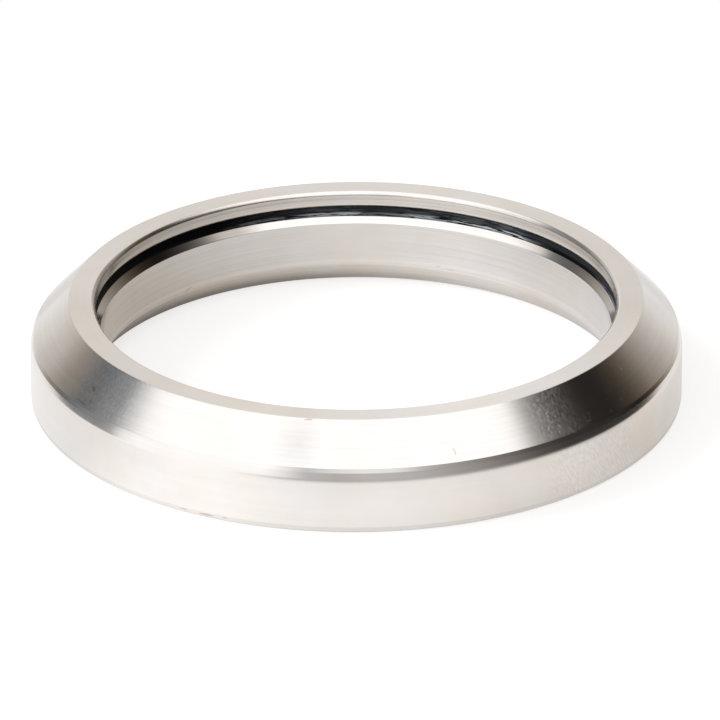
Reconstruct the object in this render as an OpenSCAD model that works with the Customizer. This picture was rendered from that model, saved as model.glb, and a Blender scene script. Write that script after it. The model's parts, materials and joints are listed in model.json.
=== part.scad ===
// Lower headset bearing for a bicycle: an angular contact ball bearing in cartridge form.
// The outer ring has a seat cone at its top, the inner ring has one at its bottom, and
// a crown cage keeps the balls apart between them. A rubber seal closes each side.
// The origin is on the axis in the plane of the lower face, and +Z points to the outer seat.

/* [Overall] */
// Bore diameter, which slides over the fork's crown race
bore_d = 40; // [38:0.1:44]
// Radial width from the bore to the outside, which slides into the head tube
section_w = 5.5; // [5.2:0.05:6]
// Height of the outer ring
height = 8; // [7.4:0.1:8.6]

/* [Balls] */
// Ball diameter, an eighth of an inch
ball_d = 3.175; // [3:0.025:3.2]
// Number of balls
ball_count = 36; // [28:1:37]
// Height of the ball centres above the lower face
ball_z = 3.5; // [3.3:0.05:3.7]
// Running clearance between a ball and its raceways
race_gap = 0.045; // [0.03:0.005:0.08]
// Running clearance between a ball and its cage pocket
pocket_gap = 0.1; // [0.06:0.01:0.15]

/* [Outer ring] */
// Angle between the outer seat cone and the axis
outer_seat_angle = 45; // [44:0.5:46]
// Height of the plain outside cylinder
cylinder_h = 4.28; // [4:0.02:4.4]
// Height of the steep band between the cylinder and the seat cone
band_h = 0.62; // [0.4:0.02:0.8]
// Angle between the steep band and the axis
band_angle = 13; // [4:0.5:24]
// Height of the second facet, between the band and the seat cone
brow_h = 0.3; // [0.2:0.02:0.5]
// Angle between the second facet and the axis
brow_angle = 26; // [18:0.5:34]
// Chamfer at the lower edges of the rings
edge = 0.15; // [0.1:0.01:0.2]
// Break at the upper outer edge
top_edge = 0.06; // [0.04:0.01:0.12]
// How far the upper lip stands outside the bore of the inner ring
lip_setback = 0.35; // [0.3:0.01:0.45]
// Chamfer at the lip's upper edge
lip_chamfer = 0.23; // [0.15:0.01:0.35]
// Step in the lip's bore, where its upper stretch was turned wider
lip_step = 0.02; // [0.01:0.005:0.04]
// Depth of that step below the upper face
lip_step_depth = 0.6; // [0.5:0.02:0.8]
// Radial width of the bevel at the lip's lower edge
lip_foot_w = 0.25; // [0.15:0.01:0.3]
// Height of that bevel
lip_foot_h = 0.15; // [0.1:0.01:0.3]
// How far the land above the raceway lies inside the ball circle
land_inset = 0.15; // [0.1:0.01:0.25]
// How far the keeper lip below the raceway reaches under the balls
keeper_grip = 0.06; // [0.04:0.01:0.08]
// Height of the keeper lip's lower edge above the lower face
keeper_z = 1.7; // [1.5:0.05:1.9]
// Step from the keeper lip out to the plain bore below it
skirt_step = 0.17; // [0.1:0.01:0.25]

/* [Inner ring] */
// Angle between the inner seat cone and the axis
inner_seat_angle = 36; // [34:0.5:38]
// Radial width of the inner seat cone
inner_seat_w = 1.22; // [0.9:0.02:1.3]
// How far the inner ring's lower face lies above the outer ring's
inner_rise = 0.08; // [0.05:0.01:0.4]
// How far the inner ring's upper face lies below the slot of the upper seal
inner_drop = 0.06; // [0.03:0.01:0.15]
// Chamfer at the upper end of the bore
bore_chamfer = 0.57; // [0.4:0.01:0.6]
// Height of the shoulder that keeps the balls on the inner raceway
neck_grip = 0.06; // [0.04:0.01:0.08]
// Angle by which the inner raceway runs on past the lowest point of the ball
shoulder_angle = 20; // [16:1:24]
// Width of the flat at the top of the inner flange
flange_flat = 0.24; // [0.15:0.01:0.3]

/* [Cage] */
// Clearance between the cage and the rings
cage_gap = 0.14; // [0.1:0.01:0.18]
// Thickness of the cage over each ball
crown_t = 0.55; // [0.4:0.05:0.8]
// Room between the cage and the upper seal
crown_room = 0.28; // [0.2:0.02:0.6]
// How far the cage fingers reach below the ball centres
finger_drop = 0.8; // [0.6:0.05:1]
// Distance from the cage fingers to the raceways
finger_gap = 0.25; // [0.2:0.01:0.35]

/* [Seals] */
// Depth of the upper seal's slot outside the land
upper_slot_depth = 0.3; // [0.2:0.02:0.36]
// Depth of the lower seal's slot outside the plain bore
lower_slot_depth = 0.3; // [0.2:0.02:0.36]
// Thickness of the seals at their beads
bead_t = 0.56; // [0.5:0.02:0.58]
// Height of the lower seal's slot above the lower face
lower_slot_z = 0.5; // [0.4:0.05:0.6]
// Thickness of the seals between bead and lip
web_t = 0.38; // [0.3:0.02:0.44]
// Radial width of the seals' beads
bead_w = 0.5; // [0.4:0.02:0.56]
// Fit of a seal's bead in its slot, on each side
bead_gap = 0.02; // [0.01:0.005:0.03]
// Clearance between a seal's lip and the inner ring
seal_gap = 0.03; // [0.02:0.005:0.05]
// How far the upper seal's lip stands outside the bore of the inner ring
upper_lip_setback = 0.33; // [0.25:0.01:0.35]
// Radial width of the upper seal's lip over the inner ring
upper_lip_w = 0.73; // [0.6:0.01:0.8]
// Lean of the upper seal's inner face
upper_lip_lean = 0.27; // [0.15:0.01:0.3]
// Radial width of the lower seal's lip
lower_lip_w = 0.26; // [0.2:0.02:0.3]

/* [Hidden] */
$fn = 96;
outer_d = bore_d + 2 * section_w;
bore_r = bore_d / 2;
outer_r = outer_d / 2;
pitch_r = bore_r + section_w / 2;
ball_r = ball_d / 2;
race_r = ball_r + race_gap;
pocket_r = ball_r + pocket_gap;

// Heights that follow from the balls: cage, slot of the upper seal, lip, inner ring
crown_foot_z = ball_z + pocket_r / 2;
cage_top_z = ball_z + pocket_r + crown_t;
upper_slot_z = cage_top_z + crown_room;
lip_z = upper_slot_z + bead_t + 2 * bead_gap;
inner_top_z = upper_slot_z - inner_drop;

// Two facets lead from the cylinder to the seat cone
band_top_r = outer_r - band_h * tan(band_angle);
band_top_z = cylinder_h + band_h;
cone_foot_r = band_top_r - brow_h * tan(brow_angle);
cone_foot_z = band_top_z + brow_h;
top_r = cone_foot_r - (height - cone_foot_z) * tan(outer_seat_angle);

// Bore side of the outer ring, from the lip down
lip_r = bore_r + lip_setback;
land_r = pitch_r - land_inset;
upper_slot_r = land_r + upper_slot_depth;
keeper_r = pitch_r + ball_r - keeper_grip;
skirt_r = keeper_r + skirt_step;
lower_slot_r = skirt_r + lower_slot_depth;
lower_slot_top_z = lower_slot_z + bead_t + 2 * bead_gap;

// Inner ring
neck_r = pitch_r - race_r + neck_grip;
flange_z = ball_z - race_r * cos(shoulder_angle);
flange_r = pitch_r + race_r * sin(shoulder_angle) + flange_flat;
inner_seat_r = bore_r + inner_seat_w;
inner_seat_z = inner_rise + inner_seat_w / tan(inner_seat_angle);

// Cage fingers
finger_r = race_r - finger_gap;

ball_names = [for (i = [1 : ball_count]) str("ball_", i < 10 ? "0" : "", i)];

// Section through both raceways' ball circle
module ball_circle(r) {
    translate([pitch_r, ball_z]) circle(r);
}

module outer_ring() {
    color([0.78, 0.77, 0.75])
    rotate_extrude()
    difference() {
        polygon([
            [outer_r - edge, 0],
            [outer_r, edge],
            [outer_r, cylinder_h],
            [band_top_r, band_top_z],
            [cone_foot_r, cone_foot_z],
            [top_r + top_edge * tan(outer_seat_angle), height - top_edge],
            [top_r - top_edge, height],
            [lip_r + lip_step + lip_chamfer, height],
            [lip_r + lip_step, height - lip_chamfer],
            [lip_r + lip_step, height - lip_step_depth],
            [lip_r, height - lip_step_depth - lip_step],
            [lip_r, lip_z + lip_foot_h],
            [lip_r + lip_foot_w, lip_z],
            [upper_slot_r, lip_z],
            [upper_slot_r, upper_slot_z],
            [land_r, upper_slot_z],
            [land_r, ball_z + ball_r / 2],
            [keeper_r, ball_z],
            [keeper_r, keeper_z],
            [skirt_r, keeper_z],
            [skirt_r, lower_slot_top_z],
            [lower_slot_r, lower_slot_top_z],
            [lower_slot_r, lower_slot_z],
            [skirt_r, lower_slot_z],
            [skirt_r, edge],
            [skirt_r + edge, 0]
        ]);
        ball_circle(race_r);
    }
}

module inner_ring() {
    color([0.8, 0.79, 0.77])
    rotate_extrude()
    difference() {
        polygon([
            [bore_r, inner_seat_z],
            [inner_seat_r, inner_rise],
            [flange_r - edge, inner_rise],
            [flange_r, inner_rise + edge],
            [flange_r, flange_z],
            [pitch_r, flange_z],
            [neck_r, ball_z],
            [neck_r, inner_top_z],
            [bore_r + bore_chamfer, inner_top_z],
            [bore_r, inner_top_z - bore_chamfer]
        ]);
        ball_circle(race_r);
    }
}

// Centre of ball i on its circle, from 0
function ball_place(i) = [
    pitch_r * cos(i * 360 / ball_count),
    pitch_r * sin(i * 360 / ball_count),
    ball_z
];

module ball(i) {
    color([0.86, 0.87, 0.88])
    translate(ball_place(i))
    sphere(ball_r);
}

// Crown cage: a ring over the balls, with a finger between each two
module ball_cage() {
    color([0.16, 0.2, 0.3])
    difference() {
        rotate_extrude()
        union() {
            translate([neck_r + cage_gap, crown_foot_z])
            square([land_r - neck_r - 2 * cage_gap, cage_top_z - crown_foot_z]);
            intersection() {
                ball_circle(finger_r);
                translate([pitch_r - finger_r, ball_z - finger_drop])
                square([2 * finger_r, finger_drop + finger_r]);
            }
        }
        for (i = [0 : ball_count - 1])
            translate(ball_place(i))
            sphere(pocket_r);
    }
}

// Bead in the outer ring's slot, a thinner web, and a lip over the inner ring's chamfer and upper face
module upper_seal() {
    bead_top = lip_z - bead_gap;
    bead_r = upper_slot_r - bead_gap;
    lip_foot = inner_top_z + seal_gap;
    lip_in = bore_r + upper_lip_setback;
    color([0.07, 0.07, 0.08])
    rotate_extrude()
    polygon([
        [lip_in + upper_lip_lean, bead_top],
        [bead_r, bead_top],
        [bead_r, bead_top - bead_t],
        [bead_r - bead_w, bead_top - bead_t],
        [bead_r - bead_w, bead_top - web_t],
        [lip_in + upper_lip_w + upper_lip_lean, bead_top - web_t],
        [lip_in + upper_lip_w, lip_foot],
        [lip_in, lip_foot]
    ]);
}

// Bead in the outer ring's lower slot, a thinner web, and a lip round the inner flange
module lower_seal() {
    bead_foot = lower_slot_z + bead_gap;
    bead_r = lower_slot_r - bead_gap;
    web_foot = bead_foot + (bead_t - web_t) / 2;
    lip_in = flange_r + seal_gap;
    color([0.07, 0.07, 0.08])
    rotate_extrude()
    polygon([
        [lip_in, bead_foot],
        [lip_in + lower_lip_w, bead_foot],
        [lip_in + lower_lip_w, web_foot],
        [bead_r - bead_w, web_foot],
        [bead_r - bead_w, bead_foot],
        [bead_r, bead_foot],
        [bead_r, bead_foot + bead_t],
        [bead_r - bead_w, bead_foot + bead_t],
        [bead_r - bead_w, web_foot + web_t],
        [lip_in + lower_lip_w, web_foot + web_t],
        [lip_in + lower_lip_w, bead_foot + bead_t],
        [lip_in, bead_foot + bead_t]
    ]);
}

outer_ring();
inner_ring();
ball_cage();
upper_seal();
lower_seal();
for (i = [0 : ball_count - 1])
    ball(i);
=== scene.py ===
"""Finish, studio and camera for the lower headset bearing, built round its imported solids.

The rings and seals are turned surfaces worked out from their sections, with every edge rounded.
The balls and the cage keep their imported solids. All lengths in the sections are millimetres.
"""

import json
import math
from functools import partial, reduce

import bpy
import numpy as np
from bpy.props import FloatProperty, FloatVectorProperty, IntProperty, PointerProperty
from bpy.types import Operator, Panel, PropertyGroup
from mathutils import Matrix, Vector


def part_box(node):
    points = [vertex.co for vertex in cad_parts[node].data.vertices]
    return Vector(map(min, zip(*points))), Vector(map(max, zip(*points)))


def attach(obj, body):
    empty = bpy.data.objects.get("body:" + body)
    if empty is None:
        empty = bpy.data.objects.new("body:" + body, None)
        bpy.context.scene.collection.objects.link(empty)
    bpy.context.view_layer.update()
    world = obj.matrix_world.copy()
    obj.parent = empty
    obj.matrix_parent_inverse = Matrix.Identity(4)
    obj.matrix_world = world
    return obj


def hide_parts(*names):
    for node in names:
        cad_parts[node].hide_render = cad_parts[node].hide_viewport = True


bl_info = {
    "name": "Headset Bearing",
    "version": (1, 0),
    "blender": (4, 5, 0),
    "location": "View3D > Sidebar > Bearing",
    "description": "Turned rings, seals and ground steel finishes of a lower headset bearing",
    "category": "Object",
}

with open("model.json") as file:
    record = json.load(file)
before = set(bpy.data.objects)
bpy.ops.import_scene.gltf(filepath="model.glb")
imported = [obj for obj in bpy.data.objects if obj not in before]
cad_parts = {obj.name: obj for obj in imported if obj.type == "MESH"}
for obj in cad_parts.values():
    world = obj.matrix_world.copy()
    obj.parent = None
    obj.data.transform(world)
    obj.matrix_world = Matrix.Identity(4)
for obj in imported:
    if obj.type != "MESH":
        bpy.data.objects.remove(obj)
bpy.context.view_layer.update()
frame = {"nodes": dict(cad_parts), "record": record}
MM = 0.001
DEGREES = 180 / math.pi
WHITE = (1.0, 1.0, 1.0, 1.0)
MOUNTS = {mount["name"]: mount for mount in frame["record"]["mounts"]}
BORE_R = MOUNTS["inner_bore"]["dims"]["r_mm"]
OUTER_R = MOUNTS["outer_diameter"]["dims"]["r_mm"]
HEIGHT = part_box("outer_ring")[1].z / MM
BALL_LOW, BALL_HIGH = (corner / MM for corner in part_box("ball_01"))
BALL_R = (BALL_HIGH.z - BALL_LOW.z) / 2
BALL_Z = (BALL_HIGH.z + BALL_LOW.z) / 2
PITCH_R = (BALL_HIGH.x + BALL_LOW.x) / 2
# Millimetres to a degree where the outside is flattened, at a radius between cylinder and cone
UNROLL = math.radians(1) * 24.5
BALL_NODES = sorted(
    name for name in frame["nodes"] if name.startswith("ball_") and name != "ball_cage"
)


def length(name, default, description):
    """A property for a length in millimetres."""
    return FloatProperty(name=name, description=description, default=default, min=0.0, precision=3)


def colour(name, default, description):
    """A property for a linear colour."""
    return FloatVectorProperty(
        name=name, description=description, default=default, subtype="COLOR", size=3,
        min=0.0, max=1.0,
    )


class BearingSizes(PropertyGroup):
    """Section sizes in millimetres. All but the rounds and the segments are the solids' own."""

    seat_angle: FloatProperty(
        name="Outer seat angle", description="Angle of the outer seat cone to the axis",
        default=math.radians(45), subtype="ANGLE",
    )
    band_angle: FloatProperty(
        name="Band angle", description="Angle of the steep band to the axis",
        default=math.radians(13), subtype="ANGLE",
    )
    brow_angle: FloatProperty(
        name="Brow angle", description="Angle of the second facet to the axis",
        default=math.radians(26), subtype="ANGLE",
    )
    inner_seat_angle: FloatProperty(
        name="Inner seat angle", description="Angle of the inner seat cone to the axis",
        default=math.radians(36), subtype="ANGLE",
    )
    cylinder_h: length("Cylinder height", 4.28, "Height of the plain outside cylinder")
    band_h: length("Band height", 0.62, "Height of the steep band above the cylinder")
    band_round: length("Band round", 2.0, "Radius between the cylinder and the steep band")
    brow_h: length("Brow height", 0.3, "Height of the second facet, under the seat cone")
    edge: length("Lower edge", 0.15, "Chamfer at the lower edges of the rings")
    lip_setback: length("Lip setback", 0.35, "How far the upper lip stands outside the bore")
    lip_chamfer: length("Lip chamfer", 0.23, "Chamfer on the upper lip")
    lip_step: length("Lip step", 0.02, "Step in the bore of the upper lip")
    lip_step_depth: length("Lip step depth", 0.6, "Depth of the step below the upper face")
    lip_round: length("Lip round", 0.26, "Radius at both edges of the lip's chamfer")
    lip_foot_round: length("Lip foot round", 0.42, "Radius at the lip's lower edge")
    inner_seat_w: length("Inner seat width", 1.22, "Radial width of the inner seat cone")
    bore_foot_round: length("Bore foot round", 0.5, "Radius between bore and inner seat cone")
    bore_chamfer: length("Bore chamfer", 0.57, "Chamfer at the top of the bore")
    race_gap: length("Race gap", 0.045, "Running clearance between ball and raceway")
    bead_w: length("Bead width", 0.5, "Radial width of the seals' beads")
    bead_t: length("Bead thickness", 0.56, "Thickness of the seals' beads")
    web_t: length("Web thickness", 0.38, "Thickness of the seals between bead and lip")
    fit: length("Bead fit", 0.02, "Clearance of a bead in its slot")
    seal_gap: length("Seal gap", 0.03, "Clearance between a seal's lip and the inner ring")
    edge_round: length("Edge round", 0.04, "Radius on every edge that the drawing leaves sharp")
    segments: IntProperty(
        name="Segments", description="Faces round each turned surface",
        default=320, min=48, max=720,
    )


class BearingColours(PropertyGroup):
    """Colours of the bearing's surfaces, linear."""

    steel: colour("Steel", (0.82, 0.79, 0.765), "Ground steel of both rings")
    # Warm steel: the warm tint that is painted where the rings reflect warm shade
    warm_shade_steel: colour("Warm steel", (0.848, 0.771, 0.692), "Steel where it has yellowed")
    ball: colour("Balls", (0.86, 0.86, 0.87), "Polished balls")
    cage: colour("Cage", (0.03, 0.05, 0.11), "Moulded cage")
    rubber: colour("Rubber", (0.001, 0.0011, 0.0016), "Seals")
    # Grease: pale partly as a painted highlight on the wet lip of the seal
    grease: colour("Grease", (0.5, 0.57, 0.62), "Film of grease at the edge of the upper seal")
    stain: colour("Stain", (0.32, 0.24, 0.16), "Dried trace at the lower edge")


class StudioSettings(PropertyGroup):
    """Camera and light of the stage."""

    focal: FloatProperty(name="Focal length", description="Lens in millimetres", default=378.35)
    distance: length("Distance", 594.0, "Distance from the camera to the middle of the lower face")
    elevation: FloatProperty(
        name="Elevation", description="Height of the camera above the floor, as an angle",
        default=math.radians(24.927), subtype="ANGLE",
    )
    roll: FloatProperty(
        name="Roll", description="Turn of the picture",
        default=math.radians(0.245), subtype="ANGLE",
    )
    aim_right: FloatProperty(
        name="Aim right", description="Aim right of the axis in millimetres", default=0.286
    )
    aim_up: FloatProperty(
        name="Aim up", description="Aim above the lower face in millimetres", default=2.306
    )


PROPERTY_GROUPS = {
    "bearing_sizes": BearingSizes,
    "bearing_colours": BearingColours,
    "bearing_studio": StudioSettings,
}


class Nodes:
    """Adds nodes to one tree, and links or sets their inputs as they are made."""

    def __init__(self, tree):
        self.tree = tree
        tree.nodes.clear()

    def add(self, kind, inputs=None, **settings):
        """One node, with its settings made first and then its inputs linked or set."""
        node = self.tree.nodes.new(kind)
        for key, value in settings.items():
            setattr(node, key, value)
        for key, value in (inputs or {}).items():
            if isinstance(value, bpy.types.NodeSocket):
                self.tree.links.new(value, node.inputs[key])
            else:
                node.inputs[key].default_value = value
        return node

    def maths(self, operation, first, second=0.0, clamp=False):
        """One Math node and its result."""
        inputs = {0: first, 1: second}
        node = self.add("ShaderNodeMath", inputs, operation=operation, use_clamp=clamp)
        return node.outputs[0]

    def times(self, *factors):
        """The product of numbers."""
        return reduce(partial(self.maths, "MULTIPLY"), factors)

    def plus(self, *terms):
        """The sum of numbers."""
        return reduce(partial(self.maths, "ADD"), terms)

    def minus(self, whole, part):
        """The difference of two numbers."""
        return self.maths("SUBTRACT", whole, part)

    def vector(self, operation, inputs):
        """The outputs of one Vector Math node."""
        return self.add("ShaderNodeVectorMath", inputs, operation=operation).outputs

    def millimetres(self):
        """The object's own coordinates in millimetres, as a vector and as its three parts."""
        place = self.add("ShaderNodeTexCoord").outputs["Object"]
        point = self.vector("SCALE", {0: place, "Scale": 1 / MM})[0]
        return point, self.add("ShaderNodeSeparateXYZ", {0: point}).outputs

    def compass(self, axes):
        """The turn about Z in degrees, 0 at the front (-Y) and positive to the right (+X)."""
        return self.times(self.maths("ARCTAN2", axes[0], self.times(axes[1], -1.0)), DEGREES)

    def step(self, value, low, high, to_low=0.0, to_high=1.0):
        """A smooth step from to_low to to_high, while value goes from low to high."""
        inputs = {
            "Value": value, "From Min": low, "From Max": high, "To Min": to_low, "To Max": to_high,
        }
        node = self.add("ShaderNodeMapRange", inputs, interpolation_type="SMOOTHSTEP")
        return node.outputs["Result"]

    def window(self, value, low, high, soft):
        """1 between low and high, with soft edges."""
        rise = self.step(value, low - soft, low + soft)
        fall = self.step(value, high - soft, high + soft, 1.0, 0.0)
        return self.times(rise, fall)

    def ramp(self, value, stops):
        """A value led through stops (place, level), with straight lines between them."""
        low, high, peak = stops[0][0], stops[-1][0], max(level for _, level in stops)
        share = self.maths("DIVIDE", self.minus(value, low), high - low)
        node = self.add("ShaderNodeValToRGB", {0: share})
        elements = node.color_ramp.elements
        shades = [(*[level / peak] * 3, 1.0) for _, level in stops]
        elements[0].color, elements[1].color = shades[0], shades[-1]
        for (place, _), shade in zip(stops[1:-1], shades[1:-1]):
            elements.new((place - low) / (high - low)).color = shade
        return self.times(node.outputs["Color"], peak)

    def mark(self, unrolled, around, height, length, width, tilt=0.0):
        """A soft oval spot, 1 in the middle and 0 at its edge, on the unrolled surface."""
        inputs = {
            "Vector": unrolled,
            "Location": (around * UNROLL, height, 0.0),
            "Rotation": (0.0, 0.0, math.radians(tilt)),
            "Scale": (length / 2, width / 2, 1.0),
        }
        spot = self.add("ShaderNodeMapping", inputs, vector_type="TEXTURE").outputs[0]
        node = self.add("ShaderNodeTexGradient", {0: spot}, gradient_type="SPHERICAL")
        return node.outputs["Fac"]

    def strokes(self, unrolled, lines):
        """Soft straight marks as one mask. Each line is (around, height, around, height, width)."""
        total = 0.0
        for start, low, end, high, width in lines:
            run, rise = (end - start) * UNROLL, high - low
            middle = ((start + end) / 2, (low + high) / 2)
            tilt = math.degrees(math.atan2(rise, run))
            spot = self.mark(unrolled, *middle, math.hypot(run, rise) + width, width, tilt)
            total = self.maths("MAXIMUM", total, spot)
        return self.step(total, 0.05, 0.5)

    def grey(self, level):
        """A number as a colour."""
        return self.add("ShaderNodeCombineColor", {0: level, 1: level, 2: level}).outputs[0]

    def mix(self, factor, first, second):
        """A blend of two numbers."""
        node = self.add("ShaderNodeMix", {0: factor, 2: first, 3: second}, data_type="FLOAT")
        return node.outputs[0]

    def tint(self, factor, first, second, blend="MIX"):
        """A blend of two colours."""
        inputs = {0: factor, 6: first, 7: second}
        node = self.add("ShaderNodeMix", inputs, data_type="RGBA", blend_type=blend)
        return node.outputs[2]

    def filtered(self, first, second):
        """The product of two colours."""
        return self.tint(1.0, first, second, "MULTIPLY")

    def bump(self, height, strength, distance):
        """A normal bent by a height, where 1 stands for distance in metres."""
        inputs = {"Strength": strength, "Distance": distance, "Height": height}
        return self.add("ShaderNodeBump", inputs).outputs["Normal"]

    def noise(self, vector, scale, detail=2.0, roughness=0.5, across=None):
        """Noise from 0 to 1. With across it has a fourth dimension, such as a distance."""
        inputs = {"Vector": vector, "Scale": scale, "Detail": detail, "Roughness": roughness}
        if across is None:
            return self.add("ShaderNodeTexNoise", inputs).outputs["Fac"]
        inputs["W"] = across
        return self.add("ShaderNodeTexNoise", inputs, noise_dimensions="4D").outputs["Fac"]


def rgba(values):
    """A property's colour as the four numbers of a socket."""
    return (*values, 1.0)


def new_material(name):
    """A material with an empty tree."""
    material = bpy.data.materials.new(name)
    material.use_nodes = True
    return material, Nodes(material.node_tree)


def finish_material(nodes, inputs):
    """Closes a tree with a Principled BSDF and the output."""
    shader = nodes.add("ShaderNodeBsdfPrincipled", inputs)
    nodes.add("ShaderNodeOutputMaterial", {"Surface": shader.outputs["BSDF"]})


def add_object(name, data):
    """A new object in the scene, at the origin, unturned and unscaled."""
    added = bpy.data.objects.new(name, data)
    bpy.context.scene.collection.objects.link(added)
    return added


def rounded(corners, steps=5, support=0.05, merge=1e-5):
    """A closed outline from corners (r, z, radius), with each corner turned into an arc.

    The arc starts radius times the tangent of half the turn before the corner, and sweeps the
    turn in equal steps. Just outside both its ends lies a support point, which keeps the flats
    beside it flat when the surface is shaded smooth. A corner with no radius stays a point, and
    points closer than merge become one.
    """
    corners = np.asarray(corners, float)
    points, radius = corners[:, :2], corners[:, 2]
    into = points - np.roll(points, 1, axis=0)
    out = np.roll(into, -1, axis=0)
    into = into / np.linalg.norm(into, axis=1, keepdims=True)
    out = out / np.linalg.norm(out, axis=1, keepdims=True)
    cross = into[:, 0] * out[:, 1] - into[:, 1] * out[:, 0]
    turn = np.arctan2(cross, (into * out).sum(axis=1))
    reach = radius * np.tan(np.abs(turn) / 2)
    side = np.stack([-into[:, 1], into[:, 0]], axis=1) * np.sign(turn)[:, None]
    sweep = np.abs(turn)[:, None] * np.linspace(0, 1, steps + 1)
    swing = np.sin(sweep)[..., None] * into[:, None, :]
    swing = swing + (1 - np.cos(sweep))[..., None] * side[:, None, :]
    arc = (points - into * reach[:, None])[:, None, :] + radius[:, None, None] * swing
    stand_off = np.where(radius > 0, reach + support, 0.0)[:, None]
    before = (points - into * stand_off)[:, None, :]
    after = (points + out * stand_off)[:, None, :]
    outline = np.concatenate([before, arc, after], axis=1).reshape(-1, 2)
    gaps = np.linalg.norm(outline - np.roll(outline, 1, axis=0), axis=1)
    return outline[gaps > merge]


def race_arc(start, end, radius, steps=24):
    """Corners along the raceway's circle about the ball centre, from one angle to another."""
    angles = np.radians(np.linspace(start, end, steps + 1))
    r = PITCH_R + radius * np.cos(angles)
    z = BALL_Z + radius * np.sin(angles)
    return np.stack([r, z, np.zeros_like(r)], axis=1)


def turned(name, outline, segments):
    """A closed outline turned about Z: x = r cos a, y = r sin a, z = z.

    The vertex attribute along is the distance in millimetres along the outline, and the UV map
    holds the share of the turn and of the outline.
    """
    rows = len(outline)
    angle = np.linspace(0, 2 * math.pi, segments, endpoint=False)
    r, z = outline[:, :1] * MM, outline[:, 1:] * MM
    z = np.broadcast_to(z, (rows, segments))
    points = np.stack([r * np.cos(angle), r * np.sin(angle), z], axis=-1).reshape(-1, 3)
    row, column = np.meshgrid(np.arange(rows), np.arange(segments), indexing="ij")
    next_row, next_column = (row + 1) % rows, (column + 1) % segments
    faces = np.stack(
        [
            row * segments + column,
            row * segments + next_column,
            next_row * segments + next_column,
            next_row * segments + column,
        ],
        axis=-1,
    ).reshape(-1, 4)
    mesh = bpy.data.meshes.new(name)
    mesh.from_pydata(points, [], faces)
    lengths = np.linalg.norm(np.roll(outline, -1, axis=0) - outline, axis=1)
    along = np.concatenate([[0.0], np.cumsum(lengths)])
    mesh.attributes.new("along", "FLOAT", "POINT").data.foreach_set(
        "value", np.repeat(along[:-1], segments).astype(np.float32)
    )
    u = np.stack([column, column + 1, column + 1, column], axis=-1) / segments
    v = np.stack([along[row], along[row], along[row + 1], along[row + 1]], axis=-1) / along[-1]
    mesh.uv_layers.new(name="section").data.foreach_set(
        "uv", np.stack([u, v], axis=-1).astype(np.float32).ravel()
    )
    mesh.polygons.foreach_set("use_smooth", np.ones(len(faces), dtype=bool))
    mesh.validate()
    return add_object(name, mesh)


def section_places(sizes):
    """Radii and heights that the sections and finishes share, worked out as in the solids."""
    upper, lower, inner = (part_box(name) for name in ("upper_seal", "lower_seal", "inner_ring"))
    band_top_r = OUTER_R - sizes.band_h * math.tan(sizes.band_angle)
    band_top_z = sizes.cylinder_h + sizes.band_h
    cone_foot_r = band_top_r - sizes.brow_h * math.tan(sizes.brow_angle)
    cone_foot_z = band_top_z + sizes.brow_h
    lip_r = BORE_R + sizes.lip_setback
    stepped_r = lip_r + sizes.lip_step
    places = {
        "race_r": BALL_R + sizes.race_gap,
        "band_top_r": band_top_r,
        "band_top_z": band_top_z,
        "cone_foot_r": cone_foot_r,
        "cone_foot_z": cone_foot_z,
        "top_r": cone_foot_r - (HEIGHT - cone_foot_z) * math.tan(sizes.seat_angle),
        "mouth_r": stepped_r + sizes.lip_chamfer,
        "mouth_z": HEIGHT - sizes.lip_chamfer,
        "stepped_r": stepped_r,
        "lip_r": lip_r,
        "lip_z": upper[1].z / MM + sizes.fit,
        "upper_slot_r": upper[1].x / MM + sizes.fit,
        "lower_slot_r": lower[1].x / MM + sizes.fit,
        "lower_slot_z": lower[0].z / MM - sizes.fit,
        "inner_foot": inner[0].z / MM,
        "inner_top": inner[1].z / MM,
        "bore_top": inner[1].z / MM - sizes.bore_chamfer,
        "flange_r": inner[1].x / MM,
    }
    places["upper_slot_z"] = places["lip_z"] - sizes.bead_t - 2 * sizes.fit
    places["lower_slot_top"] = places["lower_slot_z"] + sizes.bead_t + 2 * sizes.fit
    return places


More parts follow.
